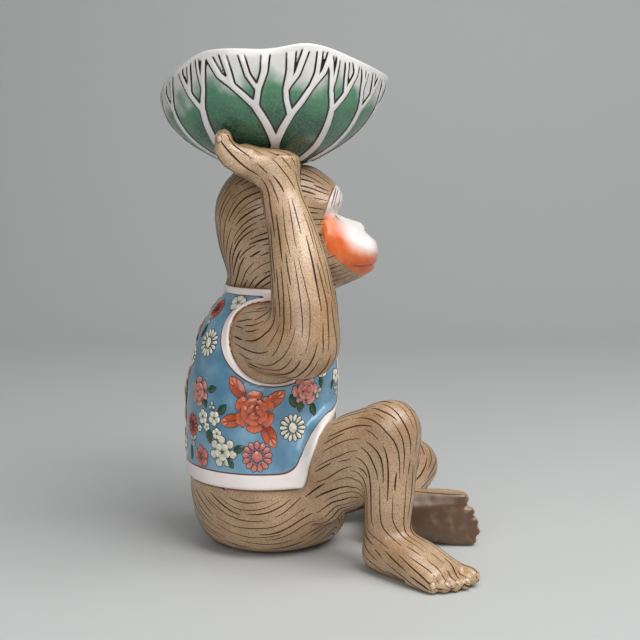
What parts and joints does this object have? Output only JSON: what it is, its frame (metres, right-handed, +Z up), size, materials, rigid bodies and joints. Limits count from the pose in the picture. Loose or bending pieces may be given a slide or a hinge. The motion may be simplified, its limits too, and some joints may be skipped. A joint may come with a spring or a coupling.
{
  "type": "ceramic monkey figurine",
  "caption": "Seated glazed stoneware monkey in a flowered blue waistcoat, arms raised to carry a wavy leaf-shaped bowl on its crown; stands on a flat base and holds small things.",
  "frame": {"origin": "on the table, under the middle of the flat base of the body", "axes": "+Z up; the monkey faces -Y, so its right side is towards -X and its left side towards +X"},
  "size_m": [0.2193, 0.2135, 0.33],
  "materials": {
    "fur_glaze": "glossy speckled brown glaze over incised fur lines",
    "blue_glaze": "glossy blue enamel with raised flowers and white bands",
    "face_glaze": "glossy white glaze with an orange blush",
    "leaf_glaze": "glossy white glaze with green fields between dark-edged veins outside"
  },
  "bodies": {
    "root": {"body": "fur_glaze", "waistcoat": "blue_glaze", "head": "fur_glaze", "face": "face_glaze", "right_ear": "fur_glaze", "right_arm": "fur_glaze", "right_hand": "fur_glaze", "right_leg": "fur_glaze", "right_foot": "fur_glaze", "left_ear": "fur_glaze", "left_arm": "fur_glaze", "left_hand": "fur_glaze", "left_leg": "fur_glaze", "left_foot": "fur_glaze", "leaf_bowl": "leaf_glaze"}
  },
  "joints": []
}
